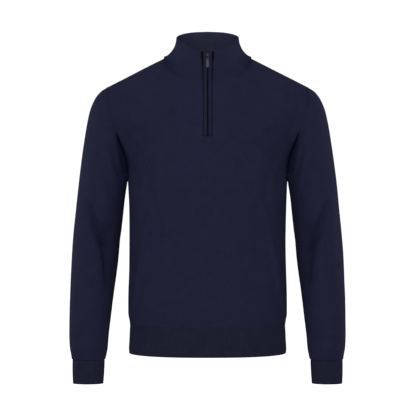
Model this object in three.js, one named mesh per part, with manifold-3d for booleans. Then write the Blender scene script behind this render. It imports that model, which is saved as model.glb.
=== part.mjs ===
// Quarter zip sweater, filled out with no wearer: hollow, and open at the neck, hem and cuffs.
// Millimetres, +Z up. The front faces -Y, and left and right are the wearer's, so left is +X.
// The origin is at the base of the neck, level with the top of the shoulders.
import * as THREE from 'three';
import { mergeVertices } from 'three/addons/utils/BufferGeometryUtils.js';
import Module from 'manifold-3d';

const wasm = await Module();
wasm.setup();

// Driving sizes
const PANEL_WALL = 2;
const COLLAR_WALL = 3;
const RIB_WALL = 2.2;
const RIB_HEIGHT = 1;
const SEAM_GAP = 0.3;
const COLLAR_LIFT = 0.5;
const RIBS_PER_HALF_HEM = 84;
const RIBS_PER_CUFF = 30;
const CHEST_Z = -272;
const HEM_TOP_Z = -594;
const HEM_Z = -657;
const CUFF_TOP_Z = -669;
const CUFF_Z = -723;
const PANEL_COLUMNS = 24;
const CHEST_ROWS = 12;
const SKIRT_ROWS = 9;
const COLLAR_ROWS = 5;
const RIB_ROWS = 2;
const SLIT_HALF = 10;
const COLLAR_END = 11.6;
const ZIP_FOOT_Z = -178;

// Half width and depths of the body at each height, with the seams at its sides
const BODY = [
  { z: -657, width: 176, front: 120.5, back: 119.5 },
  { z: -648, width: 176.9, front: 121, back: 120 },
  { z: -630, width: 175.8, front: 120, back: 119 },
  { z: -612, width: 175, front: 119.5, back: 118 },
  { z: -594, width: 174.4, front: 119, back: 117.5 },
  { z: -570, width: 177.6, front: 122, back: 119 },
  { z: -531, width: 178, front: 122, back: 116 },
  { z: -468, width: 176.2, front: 120, back: 110 },
  { z: -405, width: 175.5, front: 121, back: 107 },
  { z: -333, width: 176.4, front: 125, back: 110 },
  { z: -272, width: 179, front: 128, back: 116 },
];

// Depth at the middle of the chest and of the back, from the underarm up to the shoulder
const CHEST = [
  { rise: 0, front: 128, back: 116 },
  { rise: 0.25, front: 130, back: 121 },
  { rise: 0.55, front: 124, back: 118 },
  { rise: 0.8, front: 116, back: 106 },
  { rise: 1, front: 108, back: 94 },
];

// The armhole seam, by the angle round it from the shoulder down to the underarm
const ARMHOLE = [
  { angle: 0, frontX: 226, backX: 226, frontY: 0, backY: 0, z: -62 },
  { angle: 30, frontX: 224.5, backX: 225, frontY: -30, backY: 30, z: -76 },
  { angle: 60, frontX: 220, backX: 222, frontY: -51, backY: 53, z: -114.5 },
  { angle: 90, frontX: 199, backX: 207, frontY: -52, backY: 60, z: -167 },
  { angle: 120, frontX: 180, backX: 189, frontY: -30, backY: 50, z: -219.5 },
  { angle: 150, frontX: 177, backX: 180, frontY: -15, backY: 27, z: -258 },
  { angle: 180, frontX: 179, backX: 179, frontY: 0, backY: 0, z: -272 },
];

// The neck seam and the collar's rim, by the angle from the middle of the front round to the back
const NECK = [
  { angle: 0, x: 0, y: -105, z: -55 },
  { angle: 30, x: 44, y: -97, z: -51 },
  { angle: 60, x: 79, y: -66, z: -33 },
  { angle: 90, x: 98, y: 0, z: 3 },
  { angle: 120, x: 86, y: 45, z: 13 },
  { angle: 150, x: 49, y: 74, z: 12.5 },
  { angle: 180, x: 0, y: 82, z: 11 },
];
const RIM = [
  { angle: 0, x: 0, y: -76, z: 11.5 },
  { angle: 30, x: 31, y: -69, z: 18.5 },
  { angle: 60, x: 56.5, y: -41, z: 36 },
  { angle: 90, x: 70.5, y: 4, z: 50.5 },
  { angle: 120, x: 63.5, y: 43, z: 62.2 },
  { angle: 150, x: 38.5, y: 65, z: 70.2 },
  { angle: 180, x: 0, y: 72, z: 73 },
];

// The sleeve's rings: the outer and the inner end of each, its half depth and its middle
const SLEEVE = [
  { outX: 226, outZ: -62, inX: 179, inZ: -272, depth: 60, y: 0, seam: 1 },
  { outX: 241, outZ: -72, inX: 180.2, inZ: -276, depth: 62.5, y: 0, seam: 0.45 },
  { outX: 254, outZ: -89, inX: 181, inZ: -281, depth: 63.5, y: 0, seam: 0.2 },
  { outX: 264.5, outZ: -114, inX: 182, inZ: -287, depth: 63.5, y: 0, seam: 0.08 },
  { outX: 271.5, outZ: -146, inX: 183.2, inZ: -294, depth: 63, y: 0, seam: 0 },
  { outX: 277.4, outZ: -184, inX: 184.7, inZ: -304, depth: 62, y: 0, seam: 0 },
  { outX: 283.8, outZ: -227, inX: 186.8, inZ: -319, depth: 61, y: 1, seam: 0 },
  { outX: 290.1, outZ: -275, inX: 189.8, inZ: -345, depth: 59.5, y: 3, seam: 0 },
  { outX: 296, outZ: -330, inX: 193.9, inZ: -380, depth: 57.5, y: 5, seam: 0 },
  { outX: 301.5, outZ: -385, inX: 197.7, inZ: -415, depth: 55, y: 5, seam: 0 },
  { outX: 305, outZ: -435, inX: 200.7, inZ: -450, depth: 52.5, y: 1, seam: 0 },
  { outX: 307, outZ: -485, inX: 205.7, inZ: -490, depth: 49.5, y: -5, seam: 0 },
  { outX: 308, outZ: -530, inX: 211.2, inZ: -532, depth: 46, y: -12, seam: 0 },
  { outX: 309, outZ: -575, inX: 216.7, inZ: -576, depth: 42, y: -19, seam: 0 },
  { outX: 309.5, outZ: -615, inX: 221.7, inZ: -615, depth: 37.5, y: -25, seam: 0 },
  { outX: 308.8, outZ: -643, inX: 224.7, inZ: -643, depth: 33, y: -28, seam: 0 },
  { outX: 306.5, outZ: -659, inX: 227.7, inZ: -659, depth: 28, y: -30, seam: 0 },
  { outX: 304.5, outZ: -669, inX: 229.7, inZ: -669, depth: 24.5, y: -31, seam: 0 },
];
const CUFF = [
  { z: -669.3, middle: 267, width: 36, depth: 23.5, y: -31 },
  { z: -696, middle: 267.5, width: 35.5, depth: 23, y: -32 },
  { z: -723, middle: 267.9, width: 34, depth: 22, y: -33 },
];

// The largest folds: routes seen from the front, with their half width and their height
const BODY_FOLDS = [
  { route: [[116, -294], [126, -349], [141, -425], [161, -535], [170, -572]], width: 15, height: 4 },
  { route: [[158, -205], [140, -250], [126, -300]], width: 16, height: -4 },
];
const SLEEVE_FOLDS = [
  { route: [[263, -324], [250, -360], [232, -398], [214, -420]], width: 14, height: -8 },
  { route: [[208, -190], [196, -232], [190, -262]], width: 8, height: -5 },
];

const KNIT = { color: 0x1e2138, roughness: 0.92, metalness: 0 };
const RIB_KNIT = { color: 0x1d1f33, roughness: 0.94, metalness: 0 };
const TAPE = { color: 0x11131f, roughness: 0.85, metalness: 0 };
const COIL = { color: 0x08080c, roughness: 0.5, metalness: 0 };
const METAL = { color: 0x3a393f, roughness: 0.35, metalness: 1 };

const sweater = new THREE.Group();
const point = (x, y, z) => new THREE.Vector3(x, y, z);
const mix = THREE.MathUtils.lerp;
const clamp = THREE.MathUtils.clamp;

// Reads one column of a table as a smooth curve
function curve(table, key, name) {
  const last = table.length - 1;
  const slope = table.map((row, i) => {
    const a = table[Math.max(i - 1, 0)];
    const b = table[Math.min(i + 1, last)];
    return (b[name] - a[name]) / (b[key] - a[key]);
  });
  return (at) => {
    let i = 0;
    while (i < last - 1 && at > table[i + 1][key]) i += 1;
    const a = table[i];
    const b = table[i + 1];
    const span = b[key] - a[key];
    const t = clamp((at - a[key]) / span, 0, 1);
    const rise = t * t * (3 - 2 * t);
    const bend = slope[i] * (t * (1 - t) * (1 - t)) - slope[i + 1] * (t * t * (1 - t));
    return mix(a[name], b[name], rise) + bend * span;
  };
}

// Reads an x, y, z table as a ring that is the same on both sides
function ring(table) {
  const x = curve(table, 'angle', 'x');
  const y = curve(table, 'angle', 'y');
  const z = curve(table, 'angle', 'z');
  const middleAngles = [0, 180];
  return (angle) => {
    const side = angle > 180 ? -1 : 1;
    const a = angle > 180 ? 360 - angle : angle;
    return point(middleAngles.includes(a) ? 0 : side * x(a), y(a), z(a));
  };
}

const bodyWidth = curve(BODY, 'z', 'width');
const bodyDepth = { front: curve(BODY, 'z', 'front'), back: curve(BODY, 'z', 'back') };
const chestDepth = { front: curve(CHEST, 'rise', 'front'), back: curve(CHEST, 'rise', 'back') };
const armholeX = { front: curve(ARMHOLE, 'angle', 'frontX'), back: curve(ARMHOLE, 'angle', 'backX') };
const armholeY = { front: curve(ARMHOLE, 'angle', 'frontY'), back: curve(ARMHOLE, 'angle', 'backY') };
const armholeZ = curve(ARMHOLE, 'angle', 'z');
const neckRing = ring(NECK);
const rimRing = ring(RIM);

// A point of the armhole seam on the left side of the body
function armhole(face, angle) {
  return point(armholeX[face](angle), armholeY[face](angle), armholeZ(angle));
}

// How far a fold moves the cloth at a point, by its distance from the fold's route
function foldHeight(folds, p) {
  let height = 0;
  for (const fold of folds) {
    let nearest = Infinity;
    for (let i = 0; i + 1 < fold.route.length; i += 1) {
      const [ax, az] = fold.route[i];
      const [bx, bz] = fold.route[i + 1];
      const along = ((Math.abs(p.x) - ax) * (bx - ax) + (p.z - az) * (bz - az))
        / ((bx - ax) ** 2 + (bz - az) ** 2);
      const t = clamp(along, 0, 1);
      nearest = Math.min(nearest, Math.hypot(Math.abs(p.x) - mix(ax, bx, t), p.z - mix(az, bz, t)));
    }
    height += fold.height * Math.exp(-((nearest / fold.width) ** 2));
  }
  return height;
}

// The body below the underarm: share runs from -1 at the right side seam to 1 at the left
function skirtPoint(face, share, z) {
  const sign = face === 'front' ? -1 : 1;
  const roundness = 2.4;
  const across = Math.sin((share * Math.PI) / 2);
  const depth = (1 - Math.abs(across) ** roundness) ** (1 / roundness);
  return point(bodyWidth(z) * across, sign * bodyDepth[face](z) * depth, z);
}

// The top edge of a panel: half of the neck seam, with a shoulder seam at each side
const NECK_SHARE = 0.5;
const SHOULDER_POINT = armhole('front', 0);
function topEdge(face, share) {
  const side = Math.sign(share) || 1;
  const out = Math.abs(share);
  if (out < NECK_SHARE) {
    const turn = (out / NECK_SHARE) * 90;
    const p = neckRing(face === 'front' ? turn : 180 - turn);
    return point(side * p.x, p.y, p.z);
  }
  const p = neckRing(90).lerp(SHOULDER_POINT, (out - NECK_SHARE) / (1 - NECK_SHARE));
  return point(side * p.x, p.y, p.z);
}

// The body above the underarm: climb runs from 0 at the underarm to 1 at the shoulder and neck
function chestPoint(face, share, climb) {
  const sign = face === 'front' ? -1 : 1;
  const angle = 180 * (1 - climb);
  const rise = (1 - Math.cos(Math.PI * climb)) / 2;
  const edge = armhole(face, angle);
  if (Math.abs(share) === 1) {
    return point(share * edge.x, edge.y, edge.z);
  }
  const top = topEdge(face, share);
  const across = mix(Math.sin((share * Math.PI) / 2), top.x / SHOULDER_POINT.x, rise);
  const out = Math.abs(across);
  const round = (1 - out ** 2.4) ** (1 / 2.4);
  const flat = 1 - out ** 2.2;
  const form = mix(round, flat, THREE.MathUtils.smoothstep(rise, 0, 0.5));
  const edgeDepth = sign * edge.y;
  const edgeFade = mix(3, 1.5, THREE.MathUtils.smoothstep(rise, 0, 0.5));
  const depth = chestDepth[face](rise) * form + edgeDepth * (1 - form) ** edgeFade;
  const fall = Math.sin((Math.PI / 2) * Math.min(1, (1 - climb) / 0.55));
  const reach = fall ** mix(1, 0.25, out ** 8);
  const y = mix(top.y, sign * depth, reach);
  return point(edge.x * across, y, CHEST_Z + (top.z - CHEST_Z) * rise);
}

function normalsOf(grid) {
  return grid.map((row, i) => row.map((p, j) => {
    const above = grid[Math.min(i + 1, grid.length - 1)][j];
    const below = grid[Math.max(i - 1, 0)][j];
    const next = row[Math.min(j + 1, row.length - 1)];
    const previous = row[Math.max(j - 1, 0)];
    const along = next.clone().sub(previous);
    return along.cross(above.clone().sub(below)).normalize();
  }));
}

const moved = (p, direction, distance) => p.clone().addScaledVector(direction, distance);
const offset = (grid, normals, distance) => grid.map((row, i) => row.map((p, j) => (
  moved(p, normals[i][j], distance))));
const mirrored = (grid) => grid.map((row) => row.map((p) => point(-p.x, p.y, p.z)));

// Makes one closed body of triangles, turned so that its faces point out
function closedBody(triangles) {
  let volume = 0;
  for (const [a, b, c] of triangles) {
    volume += a.dot(b.clone().cross(c));
  }
  const corners = triangles.flatMap(([a, b, c]) => (volume < 0 ? [a, c, b] : [a, b, c]));
  return new THREE.BufferGeometry().setFromPoints(corners);
}

// Joins two rows of points with triangles, also where one has more points than the other
function stitch(a, b) {
  const triangles = [];
  let i = 0;
  let j = 0;
  while (i + 1 < a.length || j + 1 < b.length) {
    const advanceA = j + 1 >= b.length || (i + 1 < a.length
      && (i + 0.5) / (a.length - 1) <= (j + 0.5) / (b.length - 1));
    if (advanceA) {
      triangles.push([a[i], a[i + 1], b[j]]);
      i += 1;
    } else {
      triangles.push([a[i], b[j + 1], b[j]]);
      j += 1;
    }
  }
  return triangles;
}

// A cloth wall between an outer and an inner grid: an open panel, or a tube when closed
function clothWall(outer, inner, closed) {
  const shut = (row) => (closed ? [...row, row[0]] : row);
  const triangles = [];
  const face = (rowA, rowB) => triangles.push(...stitch(shut(rowA), shut(rowB)));
  for (let i = 0; i + 1 < outer.length; i += 1) {
    face(outer[i], outer[i + 1]);
    face(inner[i + 1], inner[i]);
  }
  face(inner[0], outer[0]);
  face(outer[outer.length - 1], inner[inner.length - 1]);
  if (!closed) {
    const edge = (grid, j) => grid.map((row) => row.at(j));
    triangles.push(...stitch(edge(outer, 0), edge(inner, 0)));
    triangles.push(...stitch(edge(inner, -1), edge(outer, -1)));
  }
  return closedBody(triangles);
}

function solidOf(geometry) {
  const bare = geometry.clone();
  bare.deleteAttribute('normal');
  bare.deleteAttribute('uv');
  const merged = mergeVertices(bare, 1e-4);
  return new wasm.Manifold(new wasm.Mesh({
    numProp: 3,
    vertProperties: merged.attributes.position.array,
    triVerts: new Uint32Array(merged.index.array),
  }));
}

function geometryOf(solid) {
  const mesh = solid.getMesh();
  const geometry = new THREE.BufferGeometry();
  geometry.setAttribute('position', new THREE.BufferAttribute(mesh.vertProperties, 3));
  geometry.setIndex([...mesh.triVerts]);
  return geometry;
}

function addPiece(name, geometry, finish) {
  const piece = new THREE.Mesh(geometry, new THREE.MeshStandardMaterial(finish));
  piece.name = name;
  sweater.add(piece);
  return piece;
}

// The front and the back: rows from the hem seam up to the shoulders
function panelGrid(face) {
  const sign = face === 'front' ? -1 : 1;
  const rows = [];
  const share = (j) => ((2 * j) / PANEL_COLUMNS - 1) * -sign;
  for (let i = 0; i < SKIRT_ROWS; i += 1) {
    const z = mix(HEM_TOP_Z + SEAM_GAP / 2, CHEST_Z, i / SKIRT_ROWS);
    rows.push(Array.from({ length: PANEL_COLUMNS + 1 }, (_, j) => skirtPoint(face, share(j), z)));
  }
  for (let i = 0; i <= CHEST_ROWS; i += 1) {
    const climb = i / CHEST_ROWS;
    rows.push(Array.from({ length: PANEL_COLUMNS + 1 }, (_, j) => chestPoint(face, share(j), climb)));
  }
  return rows;
}

// The direction through the cloth at the armhole seam, where sleeve and body meet
const UNDERARM = armhole('front', 180);
const ARMHOLE_UP = SHOULDER_POINT.clone().sub(UNDERARM).normalize();
function armholeNormal(face, angle) {
  const turn = THREE.MathUtils.degToRad(angle);
  const sign = face === 'front' ? -1 : 1;
  const across = point(0, sign * Math.sin(turn), 0);
  return ARMHOLE_UP.clone().multiplyScalar(Math.cos(turn)).add(across);
}

// The collar: stage runs from 0 at the neck seam to 1 at the rim
function collarPoint(angle, stage) {
  const sideways = Math.sin(THREE.MathUtils.degToRad(angle)) ** 2;
  const inward = mix(stage, 1 - (1 - stage) ** 2, mix(0.35, 1, sideways));
  const upward = mix(stage, stage ** 1.25, sideways);
  const seam = neckRing(angle);
  const rim = rimRing(angle);
  return point(mix(seam.x, rim.x, inward), mix(seam.y, rim.y, inward), mix(seam.z, rim.z, upward));
}

// The direction through the cloth at the neck seam, where panels and collar meet
function neckNormal(angle) {
  const along = neckRing(angle + 1).sub(neckRing(angle - 1));
  const up = collarPoint(angle, 0.15).sub(neckRing(angle));
  const normal = along.cross(up);
  return (angle === 90 ? normal.setY(0) : normal).normalize();
}

function makePanel(face) {
  const sign = face === 'front' ? -1 : 1;
  const grid = panelGrid(face);
  const plain = normalsOf(grid);
  const shaped = grid.map((row, i) => row.map((p, j) => {
    const inside = i > 0 && j > 0 && j < PANEL_COLUMNS && i < grid.length - 1;
    return inside ? moved(p, plain[i][j], foldHeight(BODY_FOLDS, p)) : p;
  }));
  const normals = normalsOf(shaped);
  const shoulderUp = point(SHOULDER_POINT.z - 3, 0, SHOULDER_POINT.x - 98).normalize();
  for (let i = 0; i < grid.length; i += 1) {
    for (const j of [0, PANEL_COLUMNS]) {
      const side = Math.sign(shaped[i][j].x);
      if (i <= SKIRT_ROWS) {
        normals[i][j].set(side, 0, i === SKIRT_ROWS ? -1 : 0).normalize();
      } else {
        const normal = armholeNormal(face, 180 * (1 - (i - SKIRT_ROWS) / CHEST_ROWS));
        normals[i][j].set(side * normal.x, normal.y, normal.z);
      }
      shaped[i][j].y += (sign * SEAM_GAP) / 2;
    }
  }
  const top = grid.length - 1;
  for (let j = 1; j < PANEL_COLUMNS; j += 1) {
    const out = Math.abs((2 * j) / PANEL_COLUMNS - 1);
    const side = Math.sign(shaped[top][j].x);
    if (out >= NECK_SHARE) {
      normals[top][j].set(-side * shoulderUp.x, 0, shoulderUp.z);
      shaped[top][j].y += (sign * SEAM_GAP) / 2;
    }
    if (out <= NECK_SHARE) {
      const turn = (out / NECK_SHARE) * 90;
      const normal = neckNormal(face === 'front' ? turn : 180 - turn);
      normals[top][j].set(side * normal.x, normal.y, normal.z);
    }
  }
  return clothWall(shaped, offset(shaped, normals, -PANEL_WALL), false);
}

// The slit for the zip is cut from the neck down to the zip's foot
function makeFront() {
  const slit = new THREE.BoxGeometry(2 * SLIT_HALF, 120, 200);
  slit.translate(0, -120, ZIP_FOOT_Z + 100);
  return geometryOf(solidOf(makePanel('front')).subtract(solidOf(slit)));
}

// One point of the sleeve, by its ring and by the angle from the outer side over the front
function sleevePoint(row, degrees) {
  const face = degrees <= 180 ? 'front' : 'back';
  const angle = degrees <= 180 ? degrees : 360 - degrees;
  const turn = THREE.MathUtils.degToRad(angle);
  const sign = face === 'front' ? -1 : 1;
  const up = Math.cos(turn);
  const p = point(
    mix(row.inX, row.outX, (1 + up) / 2),
    row.y + sign * row.depth * Math.sin(turn),
    mix(row.inZ, row.outZ, (1 + up) / 2),
  );
  const plain = point(
    mix(UNDERARM.x, SHOULDER_POINT.x, (1 + up) / 2),
    sign * SLEEVE[0].depth * Math.sin(turn),
    mix(UNDERARM.z, SHOULDER_POINT.z, (1 + up) / 2),
  );
  return moved(p, armhole(face, angle).sub(plain), row.seam);
}

function makeSleeve() {
  const step = 180 / CHEST_ROWS;
  const angles = Array.from({ length: 2 * CHEST_ROWS }, (_, j) => j * step);
  const grid = SLEEVE.map((row) => angles.map((angle) => sleevePoint(row, angle)));
  const around = (rows) => rows.map((row) => [row.at(-1), ...row, row[0]]);
  const plain = normalsOf(around(grid)).map((row) => row.slice(1, -1));
  const away = ARMHOLE_UP.clone().cross(point(0, 1, 0)).negate();
  const shaped = grid.map((row, i) => row.map((p, j) => {
    if (i === 0) {
      return moved(p, away, SEAM_GAP);
    }
    const front = angles[j] < 180 && i > 1 && i < grid.length - 1;
    return front ? moved(p, plain[i][j], foldHeight(SLEEVE_FOLDS, p)) : p;
  }));
  const normals = normalsOf(around(shaped)).map((row) => row.slice(1, -1));
  angles.forEach((angle, j) => {
    const face = angle <= 180 ? 'front' : 'back';
    normals[0][j] = armholeNormal(face, angle <= 180 ? angle : 360 - angle);
    normals.at(-1)[j].setZ(0).normalize();
  });
  return [shaped, offset(shaped, normals, -PANEL_WALL)];
}

// The collar's columns stand on the panels' columns, and its two ends stand beside the zip
const NECK_STEP = 180 / (PANEL_COLUMNS * NECK_SHARE);
function makeCollar() {
  const grid = [];
  const lastTurn = 360 - NECK_STEP;
  const turns = [];
  for (let turn = NECK_STEP; turn <= lastTurn; turn += NECK_STEP) {
    turns.push(turn);
  }
  const left = (turn) => (turn > 180 ? 360 - turn : turn);
  for (let i = 0; i <= COLLAR_ROWS; i += 1) {
    const stage = i / COLLAR_ROWS;
    const row = turns.map((turn) => {
      const p = collarPoint(left(turn), stage);
      return turn > 180 ? point(-p.x, p.y, p.z) : p;
    });
    const middle = collarPoint(0, stage);
    const end = middle.lerp(row[0], COLLAR_END / row[0].x);
    grid.push([end, ...row, point(-end.x, end.y, end.z)]);
  }
  const normals = normalsOf(grid);
  const seamTurns = [NECK_STEP / 2, ...turns, 360 - NECK_STEP / 2];
  grid[0].forEach((p, j) => {
    const normal = neckNormal(left(seamTurns[j]));
    normals[0][j].set(seamTurns[j] > 180 ? -normal.x : normal.x, normal.y, normal.z);
    const up = grid[1][j].clone().sub(p).normalize();
    p.addScaledVector(up, COLLAR_LIFT);
  });
  for (const row of normals) {
    for (const j of [0, row.length - 1]) {
      row[j].setX(0).normalize();
    }
  }
  return clothWall(grid, offset(grid, normals, -COLLAR_WALL), false);
}

// A ribbed wall: three points to each rib outside, and one for every rib on the plain inside
function ribbedWall(pointAt, ribs, closed) {
  const outer = [];
  const inner = [];
  const steps = 3 * ribs;
  for (let i = 0; i <= RIB_ROWS; i += 1) {
    const down = i / RIB_ROWS;
    const row = (count, depthAt) => Array.from({ length: closed ? count : count + 1 }, (_, j) => {
      const share = j / count;
      const p = pointAt(share, down);
      const ahead = pointAt(share + 0.001, down);
      const behind = pointAt(share - 0.001, down);
      const normal = ahead.sub(behind).cross(point(0, 0, 1)).normalize();
      return moved(p, normal, depthAt(j));
    });
    outer.push(row(steps, (j) => (j % 3 === 0 ? -RIB_HEIGHT : 0)));
    inner.push(row(ribs, () => -RIB_WALL));
  }
  return clothWall(outer, inner, closed);
}

// Half of the hem rib, from side seam to side seam, with its ribs evenly spaced round it
function makeHem(face) {
  const sign = face === 'front' ? -1 : 1;
  const top = HEM_TOP_Z - SEAM_GAP / 2;
  const pathSteps = 720;
  const path = Array.from({ length: pathSteps + 1 }, (_, i) => (
    skirtPoint(face, mix(-1, 1, i / pathSteps), HEM_TOP_Z)));
  const lengths = [0];
  for (let i = 0; i < pathSteps; i += 1) {
    lengths.push(lengths[i] + path[i].distanceTo(path[i + 1]));
  }
  const evenShare = (share) => {
    const wanted = clamp(share, 0, 1) * lengths.at(-1);
    const i = clamp(lengths.findIndex((length) => length >= wanted), 1, pathSteps);
    const part = (wanted - lengths[i - 1]) / (lengths[i] - lengths[i - 1]);
    return mix(-1, 1, (i - 1 + part) / pathSteps);
  };
  const at = (share, down) => {
    const p = skirtPoint(face, -sign * evenShare(share), mix(top, HEM_Z, down));
    return p.setY(p.y + (sign * SEAM_GAP) / 2);
  };
  return ribbedWall(at, RIBS_PER_HALF_HEM, false);
}

function makeCuff(side) {
  const sizes = ['middle', 'width', 'depth', 'y'].map((name) => curve([...CUFF].reverse(), 'z', name));
  const at = (share, down) => {
    const z = mix(CUFF_TOP_Z - SEAM_GAP, CUFF_Z, down);
    const [middle, width, depth, y] = sizes.map((size) => size(z));
    const turn = 2 * Math.PI * share;
    return point(side * middle + width * Math.cos(turn), y + depth * Math.sin(turn), z);
  };
  return ribbedWall(at, RIBS_PER_CUFF, true);
}

// The middle line of the front, from the collar's rim down to the zip's foot
const FOOT_STEPS = 10;
function middleLine(lowest) {
  const line = [];
  for (let i = 0; i < COLLAR_ROWS; i += 1) {
    line.push(collarPoint(0, 1 - i / COLLAR_ROWS));
  }
  const start = neckRing(0).z;
  for (let i = 0; i <= FOOT_STEPS; i += 1) {
    const z = mix(start, lowest, i / FOOT_STEPS);
    const rise = (z - CHEST_Z) / (start - CHEST_Z);
    const climb = Math.acos(1 - 2 * rise) / Math.PI;
    line.push(chestPoint('front', 0, climb));
  }
  return line;
}

const centreLine = middleLine(ZIP_FOOT_Z + SEAM_GAP);
const across = (line, x) => line.map((p) => point(x, p.y, p.z));

// A strip of cloth along the middle line, between two widths and at a depth behind the surface
function makeStrip(line, nearX, farX, raised, thick) {
  const grid = [0, 1].map((t) => across(line, mix(nearX, farX, t)));
  const slopes = line.map((p, i) => {
    const a = line[Math.max(i - 1, 0)];
    const b = line[Math.min(i + 1, line.length - 1)];
    return point(0, a.z - b.z, b.y - a.y).negate().normalize();
  });
  const normals = grid.map(() => slopes);
  return clothWall(offset(grid, normals, raised), offset(grid, normals, raised - thick), false);
}

addPiece('front_panel', makeFront(), KNIT);
addPiece('back_panel', makePanel('back'), KNIT);
const [sleeveOuter, sleeveInner] = makeSleeve();
addPiece('sleeve_left', clothWall(sleeveOuter, sleeveInner, true), KNIT);
addPiece('sleeve_right', clothWall(mirrored(sleeveOuter), mirrored(sleeveInner), true), KNIT);
addPiece('collar', makeCollar(), KNIT);
addPiece('hem_rib_front', makeHem('front'), RIB_KNIT);
addPiece('hem_rib_back', makeHem('back'), RIB_KNIT);
addPiece('cuff_left', makeCuff(1), RIB_KNIT);
addPiece('cuff_right', makeCuff(-1), RIB_KNIT);

// The placket strips cover the tapes, and the coil shows between them
const STRIP_NEAR = 2;
const STRIP_FAR = 9.7;
const STRIP_WALL = 1.6;
const TAPE_FAR = 11.2;
const TAPE_DEPTH = 3.4;
const TAPE_WALL = 0.7;
for (const [side, name] of [[1, 'left'], [-1, 'right']]) {
  const strip = makeStrip(centreLine, side * STRIP_NEAR, side * STRIP_FAR, 0, STRIP_WALL);
  addPiece(`placket_${name}`, strip, KNIT);
  const tape = makeStrip(centreLine, side * (STRIP_NEAR + 0.1), side * TAPE_FAR, -TAPE_DEPTH, TAPE_WALL);
  addPiece(`zip_tape_${name}`, tape, TAPE);
}

// The slider stands near the top of the coil, square to the slope of the collar's front
const PIVOT_Z = -0.5;
const PIVOT_RAISED = 3.2;
const collarFoot = collarPoint(0, 0);
const collarTop = collarPoint(0, 1);
const pivotStage = (PIVOT_Z - collarFoot.z) / (collarTop.z - collarFoot.z);
const SLOPE_REACH = 0.1;
const lean = collarPoint(0, pivotStage + SLOPE_REACH).sub(collarPoint(0, pivotStage));
const slope = Math.atan2(lean.y, lean.z);
const sliderPlace = new THREE.Group();
sliderPlace.position.copy(collarPoint(0, pivotStage));
sliderPlace.rotation.x = -slope;
sweater.add(sliderPlace);

// A plate in the slider's own x and z, with its thickness along y
function plate(outline, nearY, farY, hole) {
  const shape = new THREE.Shape(outline.map(([x, z]) => new THREE.Vector2(x, z)));
  if (hole) {
    shape.holes.push(new THREE.Path(hole.map(([x, z]) => new THREE.Vector2(x, z))));
  }
  const geometry = new THREE.ExtrudeGeometry(shape, { depth: farY - nearY, bevelEnabled: false });
  geometry.rotateX(Math.PI / 2);
  geometry.translate(0, farY, 0);
  return geometry;
}

function block(width, nearY, farY, lowZ, highZ) {
  const box = new THREE.BoxGeometry(width, farY - nearY, highZ - lowZ);
  box.translate(0, (nearY + farY) / 2, (lowZ + highZ) / 2);
  return box;
}

const SLIDER_OUTLINE = [
  [-2.6, -3.5], [2.6, -3.5], [3, -2.5], [3.7, 4], [3.2, 7.5], [2, 8.5], [-2, 8.5], [-3.2, 7.5], [-3.7, 4], [-3, -2.5],
];
const BRIDGE = { width: 2.2, foot: -1.6, crown: -5.5, inside: -4.55, half: 2.3, halfInside: 1.35 };
const SLIDER_NECK = { width: 2.8, low: 1.5, high: 7 };
let sliderSolid = solidOf(plate(SLIDER_OUTLINE, -1.9, -0.5));
for (const part of [
  block(SLIDER_NECK.width, -1, 5, SLIDER_NECK.low, SLIDER_NECK.high),
  plate(SLIDER_OUTLINE, 4.5, 5.7),
]) {
  sliderSolid = sliderSolid.add(solidOf(part));
}
const bridge = solidOf(block(BRIDGE.width, BRIDGE.crown, BRIDGE.foot, -BRIDGE.half, BRIDGE.half));
const underBridge = block(BRIDGE.width + 1, BRIDGE.inside, -1.9, -BRIDGE.halfInside, BRIDGE.halfInside);
sliderSolid = sliderSolid.add(bridge.subtract(solidOf(underBridge)));
const sliderMesh = addPiece('slider', geometryOf(sliderSolid), METAL);
sliderPlace.add(sliderMesh);

// The pull tab turns on the bar above its hole, which lies under the slider's bridge
const TAB_OUTLINE = [
  [-1.9, 0.8], [-2.6, 0.1], [-2.7, -7.5], [-3.5, -13], [-3.6, -26.4], [-2.6, -28.2],
  [2.6, -28.2], [3.6, -26.4], [3.5, -13], [2.7, -7.5], [2.6, 0.1], [1.9, 0.8],
];
const TAB_HOLE = [[-1.5, -0.75], [1.5, -0.75], [1.5, -5.4], [0.9, -6], [-0.9, -6], [-1.5, -5.4]];
const TAB_HALF_WALL = 0.7;
const tab = addPiece('pull_tab', plate(TAB_OUTLINE, -TAB_HALF_WALL, TAB_HALF_WALL, TAB_HOLE), METAL);
tab.position.set(0, -PIVOT_RAISED, 0);
sliderPlace.add(tab);

// The closed coil runs from the slider's neck down to the zip's foot
const COIL_HALF = 1.7;
const COIL_RAISED = -0.4;
const COIL_WALL = 3;
const coilTop = PIVOT_Z + SLIDER_NECK.low - 0.8;
const coilLine = [
  collarPoint(0, (coilTop - collarFoot.z) / (collarTop.z - collarFoot.z)),
  ...centreLine.filter((p) => p.z < coilTop - 3),
];
addPiece('zip_coil', makeStrip(coilLine, -COIL_HALF, COIL_HALF, COIL_RAISED, COIL_WALL), COIL);

// The patch that closes the foot of the slit lies on the front panel
const PATCH_HALF = 10.8;
const PATCH_TOP_Z = ZIP_FOOT_Z - 1.6;
const PATCH_HEIGHT = 13;
const patchLine = [0, 0.5, 1].map((t) => {
  const rise = (PATCH_TOP_Z - t * PATCH_HEIGHT - CHEST_Z) / (neckRing(0).z - CHEST_Z);
  return chestPoint('front', 0, Math.acos(1 - 2 * rise) / Math.PI);
});
addPiece('placket_end', makeStrip(patchLine, -PATCH_HALF, PATCH_HALF, SEAM_GAP + 1, 1), KNIT);

export default sweater;
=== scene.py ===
import math

import bmesh
import bpy
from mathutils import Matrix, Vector, noise


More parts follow.
